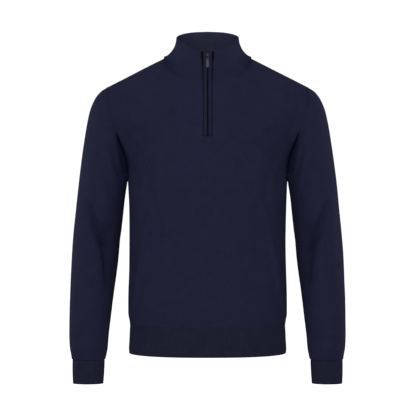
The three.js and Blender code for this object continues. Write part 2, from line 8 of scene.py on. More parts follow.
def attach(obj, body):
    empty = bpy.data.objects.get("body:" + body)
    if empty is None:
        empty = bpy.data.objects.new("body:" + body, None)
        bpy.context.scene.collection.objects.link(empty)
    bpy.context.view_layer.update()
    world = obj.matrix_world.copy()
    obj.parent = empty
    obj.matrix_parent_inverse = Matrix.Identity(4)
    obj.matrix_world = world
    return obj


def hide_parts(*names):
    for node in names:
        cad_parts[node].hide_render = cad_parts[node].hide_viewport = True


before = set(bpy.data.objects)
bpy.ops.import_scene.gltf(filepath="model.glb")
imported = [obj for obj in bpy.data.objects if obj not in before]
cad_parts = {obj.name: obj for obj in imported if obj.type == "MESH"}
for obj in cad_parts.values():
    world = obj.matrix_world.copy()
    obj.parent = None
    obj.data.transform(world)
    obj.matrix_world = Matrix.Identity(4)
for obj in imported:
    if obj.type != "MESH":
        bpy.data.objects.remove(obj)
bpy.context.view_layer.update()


# The front panel is the largest piece of fine plain knit in dark navy wool. It is knitted to shape,
# with a slit at the neck for the zip, and linked to the back at its sides and shoulders.
CHEST_Z = -0.272
HEM_TOP_Z = -0.594
SEAM_GAP = 0.0003
ROUNDNESS = 2.4
NECK_SHARE = 0.5
PANEL_WALL = 0.0019
WELD_DISTANCE = 5e-5
SLIT_HALF = 0.010
SLIT_ROLL = 0.0014
SLIT_SINK = 0.0013
TOP_SPREAD = 0.16
ZIP_FOOT_Z = -0.178
BODY = [
    dict(z=-0.657, width=0.1760, front=0.1205, back=0.1195),
    dict(z=-0.648, width=0.1769, front=0.1210, back=0.1200),
    dict(z=-0.630, width=0.1758, front=0.1200, back=0.1190),
    dict(z=-0.612, width=0.1750, front=0.1195, back=0.1180),
    dict(z=-0.594, width=0.1744, front=0.1190, back=0.1175),
    dict(z=-0.570, width=0.1776, front=0.1220, back=0.1190),
    dict(z=-0.531, width=0.1780, front=0.1220, back=0.1160),
    dict(z=-0.468, width=0.1762, front=0.1200, back=0.1100),
    dict(z=-0.405, width=0.1755, front=0.1210, back=0.1070),
    dict(z=-0.333, width=0.1764, front=0.1250, back=0.1100),
    dict(z=-0.272, width=0.1790, front=0.1280, back=0.1160),
]
CHEST = [
    dict(rise=0.00, front=0.128, back=0.116),
    dict(rise=0.25, front=0.130, back=0.121),
    dict(rise=0.55, front=0.124, back=0.118),
    dict(rise=0.80, front=0.116, back=0.106),
    dict(rise=1.00, front=0.108, back=0.094),
]
ARMHOLE = [
    dict(angle=0, front_x=0.2260, back_x=0.226, front_y=0.000, back_y=0.000, z=-0.0620),
    dict(angle=30, front_x=0.2245, back_x=0.225, front_y=-0.030, back_y=0.030, z=-0.0760),
    dict(angle=60, front_x=0.2200, back_x=0.222, front_y=-0.051, back_y=0.053, z=-0.1145),
    dict(angle=90, front_x=0.1990, back_x=0.207, front_y=-0.052, back_y=0.060, z=-0.1670),
    dict(angle=120, front_x=0.1800, back_x=0.189, front_y=-0.030, back_y=0.050, z=-0.2195),
    dict(angle=150, front_x=0.1770, back_x=0.180, front_y=-0.015, back_y=0.027, z=-0.2580),
    dict(angle=180, front_x=0.1790, back_x=0.179, front_y=0.000, back_y=0.000, z=-0.2720),
]
NECK = [
    dict(angle=0, x=0.000, y=-0.105, z=-0.055),
    dict(angle=30, x=0.044, y=-0.097, z=-0.051),
    dict(angle=60, x=0.079, y=-0.066, z=-0.033),
    dict(angle=90, x=0.098, y=0.000, z=0.003),
    dict(angle=120, x=0.086, y=0.045, z=0.013),
    dict(angle=150, x=0.049, y=0.074, z=0.0125),
    dict(angle=180, x=0.000, y=0.082, z=0.011),
]
# Folds are seen from the front: their route in x and z, half width, height and how they fade
FRONT_FOLDS = [
    dict(route=[(0.116, -0.294), (0.126, -0.349), (0.141, -0.425), (0.161, -0.535), (0.170, -0.572)],
         width=0.0060, height=0.0075),
    dict(route=[(0.158, -0.205), (0.140, -0.250), (0.124, -0.300), (0.118, -0.330)],
         width=0.015, height=-0.0060),
    dict(route=[(0.172, -0.232), (0.160, -0.262), (0.153, -0.300)], width=0.009, height=-0.0048),
    dict(route=[(0.100, -0.330), (0.108, -0.400), (0.118, -0.470)], width=0.016, height=-0.0032),
    dict(route=[(0.205, -0.115), (0.190, -0.150), (0.172, -0.190)], width=0.012, height=-0.0030),
    dict(route=[(0.060, -0.520), (0.090, -0.550), (0.130, -0.572)], width=0.012, height=0.0012),
]


def mix(a, b, t):
    return a + (b - a) * t


def clamp(value, low=0.0, high=1.0):
    return max(low, min(high, value))


def smooth(low, high, value):
    t = clamp((value - low) / (high - low))
    return t * t * (3 - 2 * t)


def curve(table, key, name):
    """Reads one column of a table as a smooth curve."""
    last = len(table) - 1
    slopes = []
    for i in range(last + 1):
        a, b = table[max(i - 1, 0)], table[min(i + 1, last)]
        slopes.append((b[name] - a[name]) / (b[key] - a[key]))

    def value(at):
        i = 0
        while i < last - 1 and at > table[i + 1][key]:
            i += 1
        a, b = table[i], table[i + 1]
        span = b[key] - a[key]
        t = clamp((at - a[key]) / span)
        bend = slopes[i] * t * (1 - t) ** 2 - slopes[i + 1] * t * t * (1 - t)
        return mix(a[name], b[name], t * t * (3 - 2 * t)) + bend * span

    return value


body_width = curve(BODY, "z", "width")
body_depth = {face: curve(BODY, "z", face) for face in ("front", "back")}
chest_depth = {face: curve(CHEST, "rise", face) for face in ("front", "back")}
armhole_x = {face: curve(ARMHOLE, "angle", face + "_x") for face in ("front", "back")}
armhole_y = {face: curve(ARMHOLE, "angle", face + "_y") for face in ("front", "back")}
armhole_z = curve(ARMHOLE, "angle", "z")


def armhole(face, angle):
    return Vector((armhole_x[face](angle), armhole_y[face](angle), armhole_z(angle)))


def ring(table):
    x, y, z = (curve(table, "angle", name) for name in "xyz")

    def place(angle):
        side = -1 if angle > 180 else 1
        a = 360 - angle if angle > 180 else angle
        return Vector((side * x(a), y(a), z(a)))

    return place


neck_ring = ring(NECK)
SHOULDER_POINT = armhole("front", 0)
UNDERARM = armhole("front", 180)


def skirt_point(face, share, z):
    """The body below the underarm: share runs from -1 at the right side seam to 1 at the left."""
    sign = -1 if face == "front" else 1
    across = math.sin(share * math.pi / 2)
    depth = max(0, 1 - abs(across) ** ROUNDNESS) ** (1 / ROUNDNESS)
    return Vector((body_width(z) * across, sign * body_depth[face](z) * depth, z))


def top_edge(face, share):
    """Half of the neck seam, with a shoulder seam at each side."""
    side, out = (-1 if share < 0 else 1), abs(share)
    if out < NECK_SHARE:
        turn = out / NECK_SHARE * 90
        p = neck_ring(turn if face == "front" else 180 - turn)
    else:
        p = neck_ring(90).lerp(SHOULDER_POINT, (out - NECK_SHARE) / (1 - NECK_SHARE))
    return Vector((side * p.x, p.y, p.z))


def chest_point(face, share, climb):
    """The body above the underarm: climb runs from 0 at the underarm to 1 at the shoulder and neck."""
    sign = -1 if face == "front" else 1
    rise = (1 - math.cos(math.pi * climb)) / 2
    edge = armhole(face, 180 * (1 - climb))
    if abs(share) > 0.9999:
        return Vector((math.copysign(edge.x, share), edge.y, edge.z))
    spread = TOP_SPREAD * (1 - climb) ** 0.6 * (1 - abs(share)) ** 0.5
    top = sum((top_edge(face, share + spread * i / 3) for i in range(-3, 4)), Vector()) / 7
    across = mix(math.sin(share * math.pi / 2), top.x / SHOULDER_POINT.x, rise)
    out = min(abs(across), 1)
    form = mix((1 - out ** 2.4) ** (1 / 2.4), 1 - out ** 2.2, smooth(0, 0.5, rise))
    depth = chest_depth[face](rise) * form + sign * edge.y * (1 - form) ** mix(3, 1.5, smooth(0, 0.5, rise))
    fall = math.sin(math.pi / 2 * min(1, (1 - climb) / 0.55))
    reach = fall ** mix(1, 0.25, out ** 8)
    return Vector((edge.x * across, mix(top.y, sign * depth, reach), CHEST_Z + (top.z - CHEST_Z) * rise))


def near_line(route, x, z):
    """How far a place in the front view lies from a route, and at what part of the route."""
    nearest, along = math.inf, 0.0
    for i, ((ax, az), (bx, bz)) in enumerate(zip(route, route[1:])):
        run, climb = bx - ax, bz - az
        t = clamp(((x - ax) * run + (z - az) * climb) / (run ** 2 + climb ** 2))
        away = math.hypot(x - mix(ax, bx, t), z - mix(az, bz, t))
        if away < nearest:
            nearest, along = away, (i + t) / (len(route) - 1)
    return nearest, along


def fold_height(folds, p):
    """How far the folds move the cloth at a point: soft across, and fading out at both ends."""
    total = 0
    for fold in folds:
        for side in (1, -1):
            nearest, along = near_line(fold["route"], side * p.x, p.z)
            if nearest < 3 * fold["width"]:
                fade = 0.35 + 0.65 * math.sin(math.pi * along) ** 0.7
                total += fold["height"] * fade * math.exp(-((nearest / fold["width"]) ** 2))
    return total


def cloth_sheet(columns, rows, place, measure, closed=False):
    """A grid of cloth, put in place by two shares, with a UV map in metres along its wales and courses."""
    bm = bmesh.new()
    bmesh.ops.create_grid(bm, x_segments=columns, y_segments=rows, size=0.5)
    uv = bm.loops.layers.uv.new("UVMap")
    for corner in (loop for cloth in bm.faces for loop in cloth.loops):
        flat = corner.vert.co
        corner[uv].uv = measure(flat.x + 0.5, flat.y + 0.5)
    for vert in bm.verts:
        vert.co = place(vert.co.x + 0.5, vert.co.y + 0.5)
    if closed:
        bmesh.ops.remove_doubles(bm, verts=bm.verts, dist=WELD_DISTANCE)
    return bm


def push_folds(bm, folds, wave=0.0006, seed=0.0):
    """Moves the cloth along its own normals by its folds and by a slight, slow unevenness."""
    bm.normal_update()
    shifts = []
    for vert in bm.verts:
        soft = noise.noise(vert.co * 11 + Vector((seed, seed, seed)))
        edge = 0.0 if vert.is_boundary else 1.0
        shifts.append(vert.normal * (fold_height(folds, vert.co) + wave * soft) * edge)
    for vert, shift in zip(bm.verts, shifts):
        vert.co += shift


def finish_cloth(bm, name, wall, material, body="garment", bevel=0.0006):
    """Turns the sheet into a piece with a wall behind its face and softly rounded edges."""
    mesh = bpy.data.meshes.new(name)
    bm.to_mesh(mesh)
    bm.free()
    piece = bpy.data.objects.new(name, mesh)
    bpy.context.scene.collection.objects.link(piece)
    mesh.materials.append(material)
    mesh.shade_smooth()
    if wall:
        thickness = piece.modifiers.new("wall", "SOLIDIFY")
        thickness.thickness = wall
        thickness.offset = -1
        thickness.use_even_offset = False
    if bevel:
        rounding = piece.modifiers.new("rounded_edge", "BEVEL")
        rounding.width = bevel
        rounding.segments = 2
        rounding.limit_method = "ANGLE"
        rounding.angle_limit = math.radians(60)
    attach(piece, body)
    return piece


def shade_nodes(material):
    material.use_nodes = True
    tree = material.node_tree
    return tree, tree.nodes["Principled BSDF"]


def knit_group():
    """Loops of plain knit: two leaning strokes to each wale, one row of them to each course. Its Shade
    output is painted shade: darker in the gaps between the loops, a little lighter on their tops.
    """
    tree = bpy.data.node_groups.new("knit_loops", "ShaderNodeTree")
    for name, default in (("Wale", 0.0014), ("Course", 0.0010)):
        socket = tree.interface.new_socket(name, in_out="INPUT", socket_type="NodeSocketFloat")
        socket.default_value = default
    for name in ("Height", "Shade"):
        tree.interface.new_socket(name, in_out="OUTPUT", socket_type="NodeSocketFloat")
    nodes, links = tree.nodes, tree.links
    inputs, outputs = nodes.new("NodeGroupInput"), nodes.new("NodeGroupOutput")
    uv = nodes.new("ShaderNodeUVMap")
    uv.uv_map = "UVMap"
    parts = nodes.new("ShaderNodeSeparateXYZ")
    links.new(uv.outputs["UV"], parts.inputs[0])

    def math_node(kind, *values):
        node = nodes.new("ShaderNodeMath")
        node.operation = kind
        for socket, value in zip(node.inputs, values):
            if isinstance(value, (int, float)):
                socket.default_value = value
            else:
                links.new(value, socket)
        return node.outputs[0]

    wale = math_node("DIVIDE", parts.outputs["X"], inputs.outputs["Wale"])
    course = math_node("DIVIDE", parts.outputs["Y"], inputs.outputs["Course"])
    across = math_node("ABSOLUTE", math_node("SUBTRACT", math_node("FRACT", wale), 0.5))
    stroke = math_node("FRACT", math_node("ADD", course, math_node("MULTIPLY", across, 1.6)))
    along = math_node("SINE", math_node("MULTIPLY", stroke, math.pi))
    middle = math_node("SUBTRACT", math_node("MULTIPLY", across, 4.0), 1.0)
    over = math_node("SUBTRACT", 1.0, math_node("MULTIPLY", middle, middle))
    height = math_node("MULTIPLY", math_node("POWER", along, 0.6), math_node("MAXIMUM", over, 0.0))
    links.new(height, outputs.inputs["Height"])
    # Shade is painted shade: 0.74 in the gaps between the loops, up to 1.16 on their tops.
    links.new(math_node("ADD", math_node("MULTIPLY", height, 0.42), 0.74), outputs.inputs["Shade"])
    return tree


knit_loops = knit_group()
NAVY = (0.0158, 0.0174, 0.0425)
RIB_NAVY = (0.0150, 0.0163, 0.0350)
# The collar's inner face gets a navy about twice as light as the knit outside: painted light for the light
# that falls inside the collar.
PURL_NAVY_PAINTED_LIGHT = (0.0300, 0.0318, 0.0620)


def knit_material(name, colour, wale, course, relief=0.00035, bump=0.55):
    """Wool knit: loops in relief, painted shade in the gaps between the loops, a slow mottle in the dye, and
    a soft sheen of loose fibres.
    """
    material = bpy.data.materials.new(name)
    tree, skin = shade_nodes(material)
    nodes, links = tree.nodes, tree.links
    loops = nodes.new("ShaderNodeGroup")
    loops.node_tree = knit_loops
    loops.inputs["Wale"].default_value = wale
    loops.inputs["Course"].default_value = course
    place = nodes.new("ShaderNodeTexCoord")
    mottle = nodes.new("ShaderNodeTexNoise")
    mottle.inputs["Scale"].default_value = 42
    mottle.inputs["Detail"].default_value = 5
    links.new(place.outputs["Object"], mottle.inputs["Vector"])
    unlike = mottle.outputs["Fac"]
    for stretch in ((60, 60, 420), (420, 420, 50)):
        pulled = nodes.new("ShaderNodeVectorMath")
        pulled.operation = "MULTIPLY"
        pulled.inputs[1].default_value = stretch
        streak = nodes.new("ShaderNodeTexNoise")
        streak.inputs["Scale"].default_value = 1
        streak.inputs["Detail"].default_value = 2
        total = nodes.new("ShaderNodeMath")
        links.new(place.outputs["Object"], pulled.inputs[0])
        links.new(pulled.outputs["Vector"], streak.inputs["Vector"])
        links.new(unlike, total.inputs[0])
        links.new(streak.outputs["Fac"], total.inputs[1])
        unlike = total.outputs[0]
    spread = nodes.new("ShaderNodeMapRange")
    spread.inputs["From Min"].default_value = 0.9
    spread.inputs["From Max"].default_value = 2.1
    spread.inputs["To Min"].default_value = 0.80
    spread.inputs["To Max"].default_value = 1.20
    links.new(unlike, spread.inputs["Value"])
    tint = nodes.new("ShaderNodeVectorMath")
    tint.operation = "SCALE"
    tint.inputs[0].default_value = colour
    links.new(spread.outputs["Result"], tint.inputs["Scale"])
    # The loops' Shade multiplies the base colour: painted shade in the gaps between the loops, a slight
    # painted highlight on their tops.
    shade = nodes.new("ShaderNodeVectorMath")
    shade.operation = "SCALE"
    links.new(tint.outputs["Vector"], shade.inputs[0])
    links.new(loops.outputs["Shade"], shade.inputs["Scale"])
    links.new(shade.outputs["Vector"], skin.inputs["Base Color"])
    relief_node = nodes.new("ShaderNodeBump")
    relief_node.inputs["Strength"].default_value = bump
    relief_node.inputs["Distance"].default_value = relief
    links.new(loops.outputs["Height"], relief_node.inputs["Height"])
    links.new(relief_node.outputs["Normal"], skin.inputs["Normal"])
    skin.inputs["Roughness"].default_value = 0.9
    skin.inputs["Specular IOR Level"].default_value = 0.06
    skin.inputs["Sheen Weight"].default_value = 0.035
    skin.inputs["Sheen Roughness"].default_value = 0.45
    skin.inputs["Sheen Tint"].default_value = (0.25, 0.32, 0.80, 1)
    return material


plain_knit = knit_material("plain_knit", NAVY, 0.0014, 0.0010)
purl_side_painted_light = knit_material("purl_side_painted_light", PURL_NAVY_PAINTED_LIGHT, 0.0014, 0.0010)
PANEL_COLUMNS = 120
PANEL_ROWS = 110
CHEST_PART = 0.5
CHEST_HALF_ROUND = 0.495


def panel_place(face):
    sign = -1 if face == "front" else 1

    def place(across, up):
        share = -sign * (2 * across - 1)
        if up < CHEST_PART:
            z = mix(HEM_TOP_Z + SEAM_GAP / 2, CHEST_Z, up / CHEST_PART)
            p = skirt_point(face, share, z)
        else:
            p = chest_point(face, share, (up - CHEST_PART) / (1 - CHEST_PART))
        if abs(share) > 0.9999 or up > 0.9999:
            p.y += sign * SEAM_GAP / 2
        return p

    return place


def panel_measure(across, up):
    if up < CHEST_PART:
        height = up / CHEST_PART * (CHEST_Z - HEM_TOP_Z)
    else:
        climb = (up - CHEST_PART) / (1 - CHEST_PART)
        height = CHEST_Z - HEM_TOP_Z + 0.26 * (1 - math.cos(math.pi * climb)) / 2
    return (across * CHEST_HALF_ROUND, height)


front = cloth_sheet(PANEL_COLUMNS, PANEL_ROWS, panel_place("front"), panel_measure)
for side in (1, -1):
    for away in (SLIT_HALF, 0.0107, 0.0115, 0.0126):
        bmesh.ops.bisect_plane(front, geom=front.verts[:] + front.edges[:] + front.faces[:],
                               plane_co=(side * away, 0, 0), plane_no=(1, 0, 0))
bmesh.ops.bisect_plane(front, geom=front.verts[:] + front.edges[:] + front.faces[:],
                       plane_co=(0, 0, ZIP_FOOT_Z), plane_no=(0, 0, 1))
in_slit = []
for knit_face in front.faces:
    middle = knit_face.calc_center_median()
    if abs(middle.x) < SLIT_HALF and middle.z > ZIP_FOOT_Z and middle.y < 0:
        in_slit.append(knit_face)
bmesh.ops.delete(front, geom=in_slit, context="FACES")
push_folds(front, FRONT_FOLDS, seed=3.1)
for vert in front.verts:
    if vert.co.z > ZIP_FOOT_Z - 0.001 and vert.co.y < -0.06:
        beside = (abs(vert.co.x) - SLIT_HALF) / SLIT_ROLL
        vert.co.y += SLIT_SINK * math.exp(-beside * beside)
front_panel = finish_cloth(front, "knit_front", PANEL_WALL, plain_knit)
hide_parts("front_panel")


# The back panel is the same knit in one piece without a slit, a little longer at the neck.
# Its sides and shoulders are linked to the front with a flat chain of yarn.
BACK_FOLDS = [
    dict(route=[(0.112, -0.300), (0.124, -0.370), (0.140, -0.450), (0.158, -0.550)],
         width=0.014, height=0.0036),
    dict(route=[(0.170, -0.225), (0.150, -0.262), (0.128, -0.310)], width=0.014, height=-0.0040),
    dict(route=[(0.030, -0.420), (0.060, -0.440), (0.100, -0.430)], width=0.014, height=-0.0020),
    dict(route=[(0.020, -0.470), (0.070, -0.492), (0.125, -0.478)], width=0.015, height=-0.0022),
    dict(route=[(0.060, -0.060), (0.075, -0.110), (0.085, -0.170)], width=0.018, height=0.0018),
]
back = cloth_sheet(PANEL_COLUMNS, PANEL_ROWS, panel_place("back"), panel_measure)
push_folds(back, BACK_FOLDS, seed=7.7)
back_panel = finish_cloth(back, "knit_back", PANEL_WALL, plain_knit)
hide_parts("back_panel")


# The sleeves are set in: each is one piece of plain knit, closed by a seam under the arm.
# Its cap is linked into the armhole, and it keeps a deep fold at the armpit and one at the elbow.
SLEEVE = [
    dict(out_x=0.2260, out_z=-0.062, in_x=0.1790, in_z=-0.272, depth=0.0600, y=0.000, seam=1.00),
    dict(out_x=0.2410, out_z=-0.072, in_x=0.1802, in_z=-0.276, depth=0.0625, y=0.000, seam=0.45),
    dict(out_x=0.2540, out_z=-0.089, in_x=0.1810, in_z=-0.281, depth=0.0635, y=0.000, seam=0.20),
    dict(out_x=0.2645, out_z=-0.114, in_x=0.1820, in_z=-0.287, depth=0.0635, y=0.000, seam=0.08),
    dict(out_x=0.2715, out_z=-0.146, in_x=0.1832, in_z=-0.294, depth=0.0630, y=0.000, seam=0),
    dict(out_x=0.2774, out_z=-0.184, in_x=0.1847, in_z=-0.304, depth=0.0620, y=0.000, seam=0),
    dict(out_x=0.2838, out_z=-0.227, in_x=0.1868, in_z=-0.319, depth=0.0610, y=0.001, seam=0),
    dict(out_x=0.2901, out_z=-0.275, in_x=0.1898, in_z=-0.345, depth=0.0595, y=0.003, seam=0),
    dict(out_x=0.2960, out_z=-0.330, in_x=0.1939, in_z=-0.380, depth=0.0575, y=0.005, seam=0),
    dict(out_x=0.3015, out_z=-0.385, in_x=0.1977, in_z=-0.415, depth=0.0550, y=0.005, seam=0),
    dict(out_x=0.3050, out_z=-0.435, in_x=0.2007, in_z=-0.450, depth=0.0525, y=0.001, seam=0),
    dict(out_x=0.3070, out_z=-0.485, in_x=0.2057, in_z=-0.490, depth=0.0495, y=-0.005, seam=0),
    dict(out_x=0.3080, out_z=-0.530, in_x=0.2112, in_z=-0.532, depth=0.0460, y=-0.012, seam=0),
    dict(out_x=0.3084, out_z=-0.575, in_x=0.2161, in_z=-0.576, depth=0.0420, y=-0.019, seam=0),
    dict(out_x=0.3083, out_z=-0.615, in_x=0.2205, in_z=-0.615, depth=0.0375, y=-0.025, seam=0),
    dict(out_x=0.3066, out_z=-0.643, in_x=0.2225, in_z=-0.643, depth=0.0330, y=-0.028, seam=0),
    dict(out_x=0.3037, out_z=-0.659, in_x=0.2251, in_z=-0.659, depth=0.0280, y=-0.030, seam=0),
    dict(out_x=0.3021, out_z=-0.669, in_x=0.2273, in_z=-0.669, depth=0.0245, y=-0.031, seam=0),
]
SLEEVE_FRONT_FOLDS = [
    dict(route=[(0.264, -0.325), (0.2575, -0.350), (0.247, -0.380), (0.235, -0.408), (0.218, -0.428)],
         width=0.0100, height=-0.0155),
    dict(route=[(0.254, -0.322), (0.240, -0.350), (0.224, -0.374)], width=0.009, height=0.0030),
    dict(route=[(0.226, -0.385), (0.2205, -0.415), (0.2165, -0.452), (0.2155, -0.500)],
         width=0.013, height=-0.0215),
    dict(route=[(0.214, -0.185), (0.204, -0.225), (0.194, -0.265)], width=0.007, height=-0.0030),
    dict(route=[(0.226, -0.190), (0.214, -0.230), (0.202, -0.275)], width=0.008, height=0.0030),
    dict(route=[(0.233, -0.240), (0.219, -0.275), (0.206, -0.312)], width=0.009, height=-0.0030),
    dict(route=[(0.262, -0.440), (0.246, -0.455), (0.228, -0.462)], width=0.011, height=-0.0022),
    dict(route=[(0.297, -0.600), (0.280, -0.622), (0.262, -0.632)], width=0.009, height=-0.0016),
]
ARMPIT = [(0.192, -0.158), (0.1905, -0.182), (0.1855, -0.214), (0.1795, -0.250)]
ARMPIT_WIDTH = 0.0095
ARMPIT_DEPTH = 0.027
SLEEVE_BACK_FOLDS = [
    dict(route=[(0.262, -0.362), (0.244, -0.385), (0.224, -0.398), (0.210, -0.402)],
         width=0.012, height=-0.0050),
    dict(route=[(0.268, -0.408), (0.248, -0.424), (0.226, -0.432)], width=0.012, height=-0.0040),
    dict(route=[(0.218, -0.190), (0.204, -0.232), (0.192, -0.270)], width=0.010, height=-0.0050),
    dict(route=[(0.280, -0.470), (0.262, -0.490), (0.240, -0.500)], width=0.011, height=-0.0025),
]
sleeve_line = {name: curve([dict(row, at=i) for i, row in enumerate(SLEEVE)], "at", name)
               for name in ("out_x", "out_z", "in_x", "in_z", "depth", "y", "seam")}
ARMHOLE_UP = (SHOULDER_POINT - UNDERARM).normalized()
AWAY_FROM_BODY = Vector((ARMHOLE_UP.z, 0, -ARMHOLE_UP.x))
SLEEVE_COLUMNS = 128
SLEEVE_ROWS = 180
SLEEVE_GIRTH = 0.36
SLEEVE_LENGTH = 0.56


def sleeve_place(side):
    def place(around, down):
        at = down * (len(SLEEVE) - 1)
        row = {name: line(at) for name, line in sleeve_line.items()}
        degrees = (360 * around) % 360
        face = "front" if degrees <= 180 else "back"
        angle = degrees if degrees <= 180 else 360 - degrees
        sign = -1 if face == "front" else 1
        up, out = math.cos(math.radians(angle)), math.sin(math.radians(angle))
        p = Vector((mix(row["in_x"], row["out_x"], (1 + up) / 2), row["y"] + sign * row["depth"] * out,
                    mix(row["in_z"], row["out_z"], (1 + up) / 2)))
        plain = Vector((mix(UNDERARM.x, SHOULDER_POINT.x, (1 + up) / 2), sign * SLEEVE[0]["depth"] * out,
                        mix(UNDERARM.z, SHOULDER_POINT.z, (1 + up) / 2)))
        p += (armhole(face, angle) - plain) * max(0, row["seam"])
        if down < 1e-4:
            p += AWAY_FROM_BODY * SEAM_GAP
        return Vector((side * p.x, p.y, p.z))

    return place


def sleeve_measure(around, down):
    return (around * SLEEVE_GIRTH, down * SLEEVE_LENGTH)


def near_route(route, width, p):
    """1 on a line of the front view and 0 away from it, with a crisp edge and soft ends."""
    nearest, along = near_line(route, abs(p.x), p.z)
    return math.exp(-((nearest / width) ** 4)) * smooth(0, 0.35, along)


for side, name in ((1, "left"), (-1, "right")):
    sleeve = cloth_sheet(SLEEVE_COLUMNS, SLEEVE_ROWS, sleeve_place(side), sleeve_measure, closed=True)
    if side < 0:
        bmesh.ops.reverse_faces(sleeve, faces=sleeve.faces[:])
    sleeve.normal_update()
    shifts = {}
    for vert in sleeve.verts:
        if not vert.is_boundary:
            middle_y = mix(0, -0.03, smooth(-0.4, -0.66, vert.co.z))
            front_part = smooth(middle_y + 0.012, middle_y - 0.012, vert.co.y)
            height = front_part * fold_height(SLEEVE_FRONT_FOLDS, vert.co)
            height += (1 - front_part) * fold_height(SLEEVE_BACK_FOLDS, vert.co)
            height += 0.0007 * noise.noise(vert.co * 12 + Vector((0, 0, 5)))
            tucked = ARMPIT_DEPTH * front_part * near_route(ARMPIT, ARMPIT_WIDTH, vert.co)
            shifts[vert] = vert.normal * height + Vector((0, tucked, 0))
    for vert, shift in shifts.items():
        vert.co += shift
    piece = finish_cloth(sleeve, "knit_sleeve_" + name, PANEL_WALL, plain_knit)
    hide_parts("sleeve_" + name)


# The stand collar is a doubled strip of the same knit, folded over at its rim and linked to the neck.
# It stands up from a wide base, and its two ends turn in beside the zip.
COLLAR_WALL = 0.0046
COLLAR_END = 0.0105
COLLAR_END_TOP = 0.0142
COLLAR_LIFT = 0.0005
RIM = [
    dict(angle=0, x=0.000, y=-0.076, z=0.0115),
    dict(angle=30, x=0.031, y=-0.069, z=0.0185),
    dict(angle=60, x=0.0565, y=-0.041, z=0.0360),
    dict(angle=90, x=0.0705, y=0.004, z=0.0505),
    dict(angle=120, x=0.0635, y=0.043, z=0.0622),
    dict(angle=150, x=0.0385, y=0.065, z=0.0702),
    dict(angle=180, x=0.000, y=0.072, z=0.073),
]
rim_ring = ring(RIM)
COLLAR_COLUMNS = 150
COLLAR_ROWS = 100
COLLAR_HEIGHT = 0.066
COLLAR_LENGTH = 0.50
COLLAR_STRIP = 0.136
INSIDE_RIDGE_AT = 0.74
OUTER_PART, ROLL_PART, INNER_PART = 0.47, 0.53, 0.97


def collar_point(angle, stage):
    """stage runs from 0 at the neck seam to 1 at the rim."""
    sideways = math.sin(math.radians(angle)) ** 2
    inward = mix(stage, 1 - (1 - stage) ** 2, mix(0.35, 1, sideways))
    upward = mix(stage, max(stage, 0) ** 1.25, sideways)
    seam, rim = neck_ring(angle), rim_ring(angle)
    return Vector((mix(seam.x, rim.x, inward), mix(seam.y, rim.y, inward), mix(seam.z, rim.z, upward)))


def collar_face(around, up):
    flare = smooth(0.50, 0.80, up)
    end = mix(COLLAR_END, COLLAR_END_TOP, flare)
    first = mix(mix(7.9, 11.6, up), 13.6, flare)
    p = collar_point(mix(first, 360 - first, around), up)
    if around < 1e-4 or around > 1 - 1e-4:
        p.x = math.copysign(end, p.x)
    return p


def collar_place(around, over):
    """over runs up the outer face, round the rolled rim, down the inner face and under the foot."""
    top = 1 - COLLAR_WALL / 2 / COLLAR_HEIGHT
    if over < OUTER_PART:
        up = top * over / OUTER_PART
    elif over < ROLL_PART:
        up = top
    else:
        up = top * clamp((INNER_PART - over) / (INNER_PART - ROLL_PART))
    p = collar_face(around, up)
    ahead, behind = collar_face(clamp(around + 0.004), up), collar_face(clamp(around - 0.004), up)
    above, below = collar_face(around, min(up + 0.02, 1)), collar_face(around, max(up - 0.02, 0))
    rise = (above - below).normalized()
    out = (ahead - behind).cross(rise).normalized()
    from_end = min(around, 1 - around) * COLLAR_COLUMNS
    wall = COLLAR_WALL * mix(0.45, 1, smooth(-0.6, 1.4, from_end))
    p -= out * (COLLAR_WALL - wall) / 2
    if over < OUTER_PART:
        p += out * 0.0007 * math.exp(-(((up - 0.04) / 0.02) ** 2))
    elif over < ROLL_PART:
        turn = math.pi * (over - OUTER_PART) / (ROLL_PART - OUTER_PART)
        p += out * wall / 2 * (math.cos(turn) - 1) + rise * wall / 2 * math.sin(turn)
    elif over < INNER_PART:
        p -= out * (wall - 0.0006 * math.exp(-(((up - INSIDE_RIDGE_AT) / 0.018) ** 2)))
    else:
        p -= out * wall * (1 - over) / (1 - INNER_PART)
    p.z += COLLAR_LIFT * (1 - up)
    return p


collar = cloth_sheet(COLLAR_COLUMNS, COLLAR_ROWS, collar_place,
                     lambda around, over: (around * COLLAR_LENGTH, over * COLLAR_STRIP), closed=True)
bmesh.ops.holes_fill(collar, edges=[edge for edge in collar.edges if edge.is_boundary], sides=0)
for vert in collar.verts:
    beside = (abs(vert.co.x) - COLLAR_END) / 0.004
    if vert.co.y < 0:
        vert.co.y += 0.0014 * math.exp(-beside * beside)
collar_piece = finish_cloth(collar, "knit_collar", 0, plain_knit, bevel=0)
# The inner face of the collar takes the lighter purl colour: painted light inside the collar.
collar_piece.data.materials.append(purl_side_painted_light)
for polygon in collar_piece.data.polygons:
    heights = [collar_piece.data.uv_layers[0].data[i].uv.y for i in polygon.loop_indices]
    over = sum(heights) / len(heights) / COLLAR_STRIP
    polygon.material_index = 1 if 0.505 < over < INNER_PART else 0
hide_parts("collar")


# The neck and armholes are linked: a chain of the same yarn joins them loop by loop.
# It lies in the seam as a row of small loops, coloured a little lighter than the knit as a painted highlight
# along the seam.
LOOP_PITCH = 0.0026
LOOP_RADIUS = 0.0008


def chain_into(bm, path):
    travelled, next_loop = 0.0, 0.0
    for a, b in zip(path, path[1:]):
        step = (b - a).length
        while next_loop <= travelled + step:
            p = a.lerp(b, (next_loop - travelled) / step)
            made = bmesh.ops.create_icosphere(bm, subdivisions=1, radius=LOOP_RADIUS)["verts"]
            along = (b - a).normalized()
            for vert in made:
                vert.co = p + vert.co + along * vert.co.dot(along) * 0.7
            next_loop += LOOP_PITCH
        travelled += step


